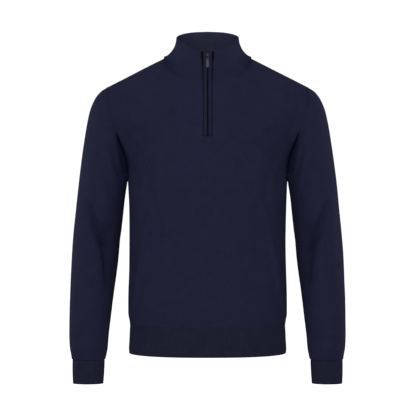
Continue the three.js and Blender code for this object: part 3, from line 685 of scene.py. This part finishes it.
chain = bmesh.new()
chain_into(chain, [neck_ring(mix(7.5, 352.5, i / 300)) + Vector((0, 0, 0.0004)) for i in range(301)])
for side in (1, -1):
    for face in ("front", "back"):
        ring_points = [armhole(face, 180 * i / 90) for i in range(91)]
        chain_into(chain, [Vector((side * (p.x + 0.0002), p.y, p.z)) for p in ring_points])
    shoulder = [neck_ring(90).lerp(SHOULDER_POINT, i / 20) for i in range(21)]
    chain_into(chain, [Vector((side * p.x, p.y, p.z - 0.0004)) for p in shoulder])
# The chain's lighter navy is a painted highlight along the seams.
link_yarn_painted_highlight = knit_material("link_yarn_painted_highlight", (0.0230, 0.0250, 0.0560), 0.0014, 0.0010)
chain_piece = finish_cloth(chain, "linking_chain", 0, link_yarn_painted_highlight, bevel=0)


# The hem is knitted two by two in a slightly greyer yarn, front and back, and seamed at the sides.
# Its ribs stand up in pairs of loops, and it pulls the body in a little where it starts.
RIB_HEIGHT = 0.0008
RIB_WALL = 0.0021
HEM_Z = -0.657
RIBS_PER_HALF_HEM = 84
POINTS_PER_RIB = 8
HEM_ROWS = 12
rib_knit = knit_material("rib_knit", RIB_NAVY, 0.0015, 0.0011)


def rib_relief(count):
    """The ribs' own form: broad round tops and narrow valleys. It is 0 on the tops."""
    phase = count % 1
    return -RIB_HEIGHT * max(0, math.cos(2 * math.pi * phase)) ** 1.5


def even_shares(face, z, steps=720):
    path = [skirt_point(face, mix(-1, 1, i / steps), z) for i in range(steps + 1)]
    lengths = [0]
    for a, b in zip(path, path[1:]):
        lengths.append(lengths[-1] + (b - a).length)

    def share(part):
        wanted, low, high = clamp(part) * lengths[-1], 0, steps
        while high - low > 1:
            middle = (low + high) // 2
            if lengths[middle] <= wanted:
                low = middle
            else:
                high = middle
        return mix(-1, 1, (low + (wanted - lengths[low]) / (lengths[high] - lengths[low])) / steps)

    return share


for face in ("front", "back"):
    sign = -1 if face == "front" else 1
    even = even_shares(face, HEM_TOP_Z)

    def hem_place(across, up, sign=sign, face=face, even=even):
        z = mix(HEM_Z, HEM_TOP_Z - SEAM_GAP / 2, up)
        p = skirt_point(face, -sign * even(across), z)
        ahead = skirt_point(face, -sign * even(across + 0.001), z)
        behind = skirt_point(face, -sign * even(across - 0.001), z)
        out = (ahead - behind).cross(Vector((0, 0, 1))).normalized()
        fade = smooth(1, 0.93, up)
        relief = fade * rib_relief(across * RIBS_PER_HALF_HEM) - 0.0005 * (1 - fade)
        p += out * relief
        p.y += sign * SEAM_GAP / 2
        return p

    hem = cloth_sheet(RIBS_PER_HALF_HEM * POINTS_PER_RIB, HEM_ROWS, hem_place,
                      lambda across, up: (across * 0.49, up * 0.063))
    piece = finish_cloth(hem, "knit_hem_" + face, RIB_WALL, rib_knit)
    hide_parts("hem_rib_" + face)


# The cuffs are tubes of the same rib, each closed by a seam under the wrist.
# The sleeve gathers slightly where a cuff holds it in.
CUFF = [
    dict(z=-0.723, middle=0.2657, width=0.0340, depth=0.0220, y=-0.033),
    dict(z=-0.696, middle=0.2653, width=0.0355, depth=0.0230, y=-0.032),
    dict(z=-0.6693, middle=0.2648, width=0.0360, depth=0.0235, y=-0.031),
]
RIBS_PER_CUFF = 30
CUFF_ROWS = 12
cuff_line = {name: curve(CUFF, "z", name) for name in ("middle", "width", "depth", "y")}
for side, name in ((1, "left"), (-1, "right")):
    def cuff_place(around, up, side=side):
        z = mix(CUFF[0]["z"], CUFF[-1]["z"], up)
        size = {key: line(z) for key, line in cuff_line.items()}
        turn = 2 * math.pi * around
        fade = smooth(1, 0.93, up)
        relief = fade * rib_relief(around * RIBS_PER_CUFF) - 0.0004 * (1 - fade)
        p = Vector((side * size["middle"] + (size["width"] + relief) * math.cos(turn),
                    size["y"] + (size["depth"] + relief) * math.sin(turn), z))
        return p

    cuff = cloth_sheet(RIBS_PER_CUFF * POINTS_PER_RIB, CUFF_ROWS, cuff_place,
                       lambda around, up: (around * 0.19, up * 0.054), closed=True)
    piece = finish_cloth(cuff, "knit_cuff_" + name, RIB_WALL, rib_knit)
    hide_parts("cuff_" + name)


# Two narrow bindings of plain knit run down beside the zip and cover its tapes.
# A small flat patch closes the foot of the slit.
STRIP_NEAR = 0.0018
STRIP_FAR = 0.0088
STRIP_WALL = 0.0015
FOOT_RISE_STEPS = 60


def middle_line(down, lowest):
    """A point of the middle of the front: down runs from 0 at the rim to 1 at the foot."""
    start = neck_ring(0).z
    rim_part = 0.28
    if down < rim_part:
        return collar_point(0, 1 - down / rim_part)
    z = mix(start, lowest, (down - rim_part) / (1 - rim_part))
    rise = (z - CHEST_Z) / (start - CHEST_Z)
    return chest_point("front", 0, math.acos(1 - 2 * rise) / math.pi)


def strip_place(near, far, raised, crown, lowest, highest_part=0.0):
    def place(across, up):
        down = mix(1, highest_part, up)
        p = middle_line(down, lowest)
        ahead, behind = middle_line(min(down + 0.01, 1), lowest), middle_line(max(down - 0.01, 0), lowest)
        out = (behind - ahead).cross(Vector((-1, 0, 0))).normalized()
        from_middle = across if near > 0 else 1 - across
        groove = 0.0007 * math.exp(-(((from_middle - 0.42) / 0.09) ** 2)) if crown else 0
        lift = raised - crown * abs(2 * across - 1) ** 2.5 - groove
        return Vector((mix(near, far, across), p.y, p.z)) + out * lift

    return place


for side, name in ((1, "left"), (-1, "right")):
    ends = (STRIP_NEAR, STRIP_FAR) if side > 0 else (-STRIP_FAR, -STRIP_NEAR)
    strip = cloth_sheet(20, FOOT_RISE_STEPS, strip_place(*ends, 0.0004, 0.0010, ZIP_FOOT_Z + SEAM_GAP),
                        lambda across, up: (across * 0.0077, up * 0.196))
    piece = finish_cloth(strip, "knit_placket_" + name, STRIP_WALL, plain_knit, bevel=0.0005)
    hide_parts("placket_" + name)


# The zip's tapes are narrow woven polyester, sewn behind the bindings and hidden but for their edges.
# They run from the collar's rim to the foot of the slit. They are built wider than the tape's own 9.1 mm, so
# their near-black fills the gaps beside the collar's ends: partly the tape itself, partly painted shade in
# those gaps.
# TAPE_FAR reaches past the tape's own width, into the gaps beside the collar's ends: painted shade there.
TAPE_FAR = 0.0145
TAPE_DEPTH = 0.0034
TAPE_WALL = 0.0007
tape_cloth = bpy.data.materials.new("zip_tape")
tape_tree, tape_skin = shade_nodes(tape_cloth)
tape_place = tape_tree.nodes.new("ShaderNodeTexCoord")
weave = tape_tree.nodes.new("ShaderNodeTexWave")
weave.inputs["Scale"].default_value = 900
weave.inputs["Distortion"].default_value = 1
weave_bump = tape_tree.nodes.new("ShaderNodeBump")
weave_bump.inputs["Strength"].default_value = 0.3
weave_bump.inputs["Distance"].default_value = 0.0002
tape_tree.links.new(tape_place.outputs["Object"], weave.inputs["Vector"])
tape_tree.links.new(weave.outputs["Fac"], weave_bump.inputs["Height"])
tape_tree.links.new(weave_bump.outputs["Normal"], tape_skin.inputs["Normal"])
tape_skin.inputs["Base Color"].default_value = (0.0020, 0.0021, 0.0040, 1)
tape_skin.inputs["Specular IOR Level"].default_value = 0.05
tape_skin.inputs["Roughness"].default_value = 0.75
for side, name in ((1, "left"), (-1, "right")):
    ends = (STRIP_NEAR + 0.0001, TAPE_FAR) if side > 0 else (-TAPE_FAR, -STRIP_NEAR - 0.0001)
    tape = cloth_sheet(6, FOOT_RISE_STEPS, strip_place(*ends, -TAPE_DEPTH, 0, ZIP_FOOT_Z + SEAM_GAP),
                       lambda across, up: (across * 0.0091, up * 0.196))
    piece = finish_cloth(tape, "woven_tape_" + name, TAPE_WALL, tape_cloth, bevel=0.0002)
    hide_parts("zip_tape_" + name)


# The closed coil is two rows of black nylon loops that hook into each other down the middle.
# Each loop is a small rounded block on a cord, as they look from the front.
COIL_PITCH = 0.00135
COIL_TOP_Z = 0.0002
TOOTH = (0.0021, 0.0016, 0.00082)
nylon = bpy.data.materials.new("zip_coil")
nylon_tree, nylon_skin = shade_nodes(nylon)
nylon_place = nylon_tree.nodes.new("ShaderNodeTexCoord")
nylon_noise = nylon_tree.nodes.new("ShaderNodeTexNoise")
nylon_noise.inputs["Scale"].default_value = 700
nylon_rough = nylon_tree.nodes.new("ShaderNodeMapRange")
nylon_rough.inputs["To Min"].default_value = 0.55
nylon_rough.inputs["To Max"].default_value = 0.75
nylon_tree.links.new(nylon_place.outputs["Object"], nylon_noise.inputs["Vector"])
nylon_tree.links.new(nylon_noise.outputs["Fac"], nylon_rough.inputs["Value"])
nylon_tree.links.new(nylon_rough.outputs["Result"], nylon_skin.inputs["Roughness"])
nylon_skin.inputs["Base Color"].default_value = (0.0025, 0.0025, 0.0040, 1)
nylon_skin.inputs["Specular IOR Level"].default_value = 0.15
line_points = [middle_line(i / 400, ZIP_FOOT_Z + SEAM_GAP) for i in range(401)]
line_points = [p for p in line_points if p.z < COIL_TOP_Z]
coil = bmesh.new()
travelled, next_tooth, count = 0.0, 0.0, 0
for a, b in zip(line_points, line_points[1:]):
    step = (b - a).length
    while next_tooth <= travelled + step:
        p = a.lerp(b, (next_tooth - travelled) / step)
        along = (a - b).normalized()
        out = along.cross(Vector((-1, 0, 0))).normalized()
        side = 1 if count % 2 else -1
        made = bmesh.ops.create_cube(coil, size=1)["verts"]
        for vert in made:
            x, y, z = vert.co
            spread = 1.0 if x * side > 0 else 0.8
            vert.co = (p - out * 0.0013 + Vector((x * TOOTH[0] + side * 0.0006, 0, 0))
                       - out * (y * TOOTH[1] * spread) + along * (z * TOOTH[2] * spread))
        next_tooth += COIL_PITCH / 2
        count += 1
    travelled += step
bmesh.ops.bevel(coil, geom=coil.edges[:], offset=0.00022, offset_type="OFFSET", segments=1, profile=0.5,
                affect="EDGES", material=-1)
bmesh.ops.recalc_face_normals(coil, faces=coil.faces[:])
core = cloth_sheet(2, FOOT_RISE_STEPS, strip_place(-0.0014, 0.0014, -0.0022, 0, ZIP_FOOT_Z + SEAM_GAP, 0.22),
                   lambda across, up: (across * 0.0028, up * 0.18))
core_top = bmesh.ops.extrude_face_region(core, geom=core.faces[:])
for moved in core_top["geom"]:
    if isinstance(moved, bmesh.types.BMVert):
        moved.co.y += 0.0008
bmesh.ops.recalc_face_normals(core, faces=core.faces[:])
core_mesh = bpy.data.meshes.new("core")
core.to_mesh(core_mesh)
core.free()
coil.from_mesh(core_mesh)
coil_mesh = bpy.data.meshes.new("zip_coil")
coil.to_mesh(coil_mesh)
coil.free()
coil_mesh.materials.append(nylon)
coil_mesh.shade_smooth()
coil_piece = bpy.data.objects.new("nylon_coil", coil_mesh)
bpy.context.scene.collection.objects.link(coil_piece)
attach(coil_piece, "garment")
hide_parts("zip_coil")


# The patch under the zip is a small flat piece of the knit, sewn over the foot of the slit.
# It hides the cut ends of the tapes and bindings.
PATCH_HALF = 0.0108
PATCH_TOP_Z = ZIP_FOOT_Z - 0.0016
PATCH_HEIGHT = 0.013


def patch_place(across, up):
    z = PATCH_TOP_Z - PATCH_HEIGHT * (1 - up)
    rise = (z - CHEST_Z) / (neck_ring(0).z - CHEST_Z)
    p = chest_point("front", 0, math.acos(1 - 2 * rise) / math.pi)
    soft = 0.0005 * (abs(2 * across - 1) ** 4 + abs(2 * up - 1) ** 4)
    return Vector((mix(-PATCH_HALF, PATCH_HALF, across), p.y - 0.0013 + soft, z))


patch = cloth_sheet(14, 10, patch_place, lambda across, up: (across * 0.0216, up * 0.013))
patch_piece = finish_cloth(patch, "knit_patch", 0.001, plain_knit, bevel=0.0003)
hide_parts("placket_end")


# The slider is cast zinc with a dark nickel plate: two plates joined by a neck, with a bridge in front.
# It has run up the coil and stands near the top of the collar's front.
PIVOT_Z = -0.0005
PIVOT_RAISED = 0.0032
SLOPE_REACH = 0.1
SLIDER_OUTLINE = [(-2.6, -3.5), (2.6, -3.5), (3, -2.5), (3.7, 4), (3.2, 7.5), (2, 8.5),
                  (-2, 8.5), (-3.2, 7.5), (-3.7, 4), (-3, -2.5)]
metal = bpy.data.materials.new("zip_metal")
metal_tree, metal_skin = shade_nodes(metal)
metal_place = metal_tree.nodes.new("ShaderNodeTexCoord")
metal_noise = metal_tree.nodes.new("ShaderNodeTexNoise")
metal_noise.inputs["Scale"].default_value = 350
metal_noise.inputs["Detail"].default_value = 4
metal_rough = metal_tree.nodes.new("ShaderNodeMapRange")
metal_rough.inputs["To Min"].default_value = 0.40
metal_rough.inputs["To Max"].default_value = 0.54
metal_tree.links.new(metal_place.outputs["Object"], metal_noise.inputs["Vector"])
metal_tree.links.new(metal_noise.outputs["Fac"], metal_rough.inputs["Value"])
metal_tree.links.new(metal_rough.outputs["Result"], metal_skin.inputs["Roughness"])
metal_skin.inputs["Base Color"].default_value = (0.036, 0.034, 0.040, 1)
metal_skin.inputs["Metallic"].default_value = 1.0
collar_foot, collar_top = collar_point(0, 0), collar_point(0, 1)
pivot_stage = (PIVOT_Z - collar_foot.z) / (collar_top.z - collar_foot.z)
slider_at = collar_point(0, pivot_stage)
lean = collar_point(0, pivot_stage + SLOPE_REACH) - slider_at
slope = math.atan2(lean.y, lean.z)


def slider_space(x, y, z):
    """Turns a place on the slider, in millimetres and square to the collar's slope, into the frame's."""
    y, z = y / 1000, z / 1000
    turned_y = y * math.cos(slope) + z * math.sin(slope)
    turned_z = z * math.cos(slope) - y * math.sin(slope)
    return slider_at + Vector((x / 1000, turned_y, turned_z))


def plate_into(bm, outline, near, far):
    ends = [[bm.verts.new((x, y, z)) for x, z in outline] for y in (near, far)]
    count = len(outline)
    bm.faces.new(ends[0])
    bm.faces.new(list(reversed(ends[1])))
    for i in range(count):
        bm.faces.new([ends[0][i], ends[1][i], ends[1][(i + 1) % count], ends[0][(i + 1) % count]])


def block_into(bm, half, near, far, low, high):
    plate_into(bm, [(-half, low), (half, low), (half, high), (-half, high)], near, far)


def finish_metal(bm, name, body, bevel):
    bmesh.ops.recalc_face_normals(bm, faces=bm.faces[:])
    bmesh.ops.bevel(bm, geom=bm.edges[:], offset=bevel, offset_type="OFFSET", segments=2, profile=0.5,
                    affect="EDGES", clamp_overlap=True, material=-1)
    for vert in bm.verts:
        vert.co = slider_space(*vert.co)
    mesh = bpy.data.meshes.new(name)
    bm.to_mesh(mesh)
    bm.free()
    mesh.materials.append(metal)
    mesh.shade_smooth()
    piece = bpy.data.objects.new(name, mesh)
    bpy.context.scene.collection.objects.link(piece)
    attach(piece, body)
    return piece


slider = bmesh.new()
plate_into(slider, SLIDER_OUTLINE, -1.9, -0.5)
plate_into(slider, SLIDER_OUTLINE, 4.5, 5.7)
block_into(slider, 1.4, -1.2, 5.0, 1.5, 7)
bridge_side = [(-2.3, -1.6), (-2.3, -4.9), (-1.7, -5.5), (1.7, -5.5), (2.3, -4.9), (2.3, -1.6),
               (1.35, -1.6), (1.35, -4.55), (-1.35, -4.55), (-1.35, -1.6)]
bridge_ends = [[slider.verts.new((x, y, z)) for z, y in bridge_side] for x in (-1.1, 1.1)]
for i in range(len(bridge_side)):
    j = (i + 1) % len(bridge_side)
    slider.faces.new([bridge_ends[0][i], bridge_ends[0][j], bridge_ends[1][j], bridge_ends[1][i]])
for end in bridge_ends:
    for corners in ((0, 1, 8, 9), (1, 2, 3, 4, 7, 8), (4, 5, 6, 7)):
        slider.faces.new([end[i] for i in corners])
slider_piece = finish_metal(slider, "zinc_slider", "garment", 0.3)
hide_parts("slider")


# The pull tab is a flat plated tongue with a slot, and hangs from the slider's bridge.
# It swings up and down on that bridge, so it rides its own body.
TAB_SIDE = [(1.9, 0.8), (2.8, 0.1), (3.0, -7.5), (3.9, -13), (4.0, -26.4), (2.9, -28.2)]
TAB_HOLE = [(-1.5, -0.75), (1.5, -0.75), (1.5, -5.4), (0.9, -6), (-0.9, -6), (-1.5, -5.4)]
TAB_HALF_WALL = 0.7
tab = bmesh.new()
tab_outline = TAB_SIDE + [(-x, z) for x, z in reversed(TAB_SIDE)]
loops = []
for outline in (tab_outline, TAB_HOLE):
    verts = [tab.verts.new((x, -PIVOT_RAISED * 1000 - TAB_HALF_WALL, z)) for x, z in outline]
    loops += [tab.edges.new((a, b)) for a, b in zip(verts, verts[1:] + verts[:1])]
bmesh.ops.triangle_fill(tab, edges=loops, use_beauty=True, normal=Vector((0, -1, 0)))
bmesh.ops.dissolve_limit(tab, angle_limit=math.radians(1), verts=tab.verts[:], edges=tab.edges[:])
grown = bmesh.ops.extrude_face_region(tab, geom=tab.faces[:])
for moved in grown["geom"]:
    if isinstance(moved, bmesh.types.BMVert):
        moved.co.y += 2 * TAB_HALF_WALL
tab_piece = finish_metal(tab, "zinc_pull_tab", "pull_tab", 0.25)
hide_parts("pull_tab")


# The camera stands three metres in front at mid height, with a white sweep all round.
# A broad light above it, one at each side and one behind each shoulder model the folds softly.
eye = bpy.data.cameras.new("camera")
eye.sensor_width = 36
eye.lens = 115.4
eye.shift_x = 0.00096
camera = bpy.data.objects.new("camera", eye)
camera.location = (0, -3.0, -0.333)
camera.rotation_euler = (math.pi / 2, 0, 0)
bpy.context.scene.collection.objects.link(camera)
bpy.context.scene.camera = camera

ground = bmesh.new()
bmesh.ops.create_grid(ground, x_segments=1, y_segments=1, size=8)
ground_mesh = bpy.data.meshes.new("floor")
ground.to_mesh(ground_mesh)
ground.free()
floor = bpy.data.objects.new("floor", ground_mesh)
floor.location = (0, 0, -1.1)
bpy.context.scene.collection.objects.link(floor)
paper = bpy.data.materials.new("white_paper")
paper_tree, paper_skin = shade_nodes(paper)
paper_skin.inputs["Base Color"].default_value = (0.9, 0.9, 0.9, 1)
paper_skin.inputs["Emission Color"].default_value = (1, 1, 1, 1)
paper_seen = paper_tree.nodes.new("ShaderNodeLightPath")
paper_level = paper_tree.nodes.new("ShaderNodeMapRange")
paper_level.inputs["To Min"].default_value = 0.0
paper_level.inputs["To Max"].default_value = 1.0
paper_tree.links.new(paper_seen.outputs["Is Camera Ray"], paper_level.inputs["Value"])
paper_tree.links.new(paper_level.outputs["Result"], paper_skin.inputs["Emission Strength"])
floor.data.materials.append(paper)

world = bpy.data.worlds.new("white_room")
bpy.context.scene.world = world
world.use_nodes = True
air = world.node_tree
seen = air.nodes.new("ShaderNodeLightPath")
level = air.nodes.new("ShaderNodeMapRange")
level.inputs["To Min"].default_value = 0.08
level.inputs["To Max"].default_value = 1.05
air.links.new(seen.outputs["Is Camera Ray"], level.inputs["Value"])
air.nodes["Background"].inputs["Color"].default_value = (1, 1, 1, 1)
air.links.new(level.outputs["Result"], air.nodes["Background"].inputs["Strength"])

bpy.context.scene.view_settings.view_transform = "Standard"
LIGHTS = [
    dict(name="key", place=(-0.1, -2.5, 1.1), size=1.3, energy=44),
    dict(name="side_left", place=(2.3, -1.5, 0.5), size=1.6, energy=15),
    dict(name="side_right", place=(-2.3, -1.5, 0.5), size=1.6, energy=16),
    dict(name="edge_left", place=(2.4, 1.0, 0.3), size=1.2, energy=22),
    dict(name="edge_right", place=(-2.4, 1.0, 0.3), size=1.2, energy=22),
]
for light in LIGHTS:
    lamp = bpy.data.lights.new(light["name"], "AREA")
    lamp.size = light["size"]
    lamp.energy = light["energy"]
    holder = bpy.data.objects.new(light["name"], lamp)
    holder.location = light["place"]
    toward = Vector((0, 0, -0.33)) - holder.location
    holder.rotation_euler = toward.to_track_quat("-Z", "Y").to_euler()
    bpy.context.scene.collection.objects.link(holder)
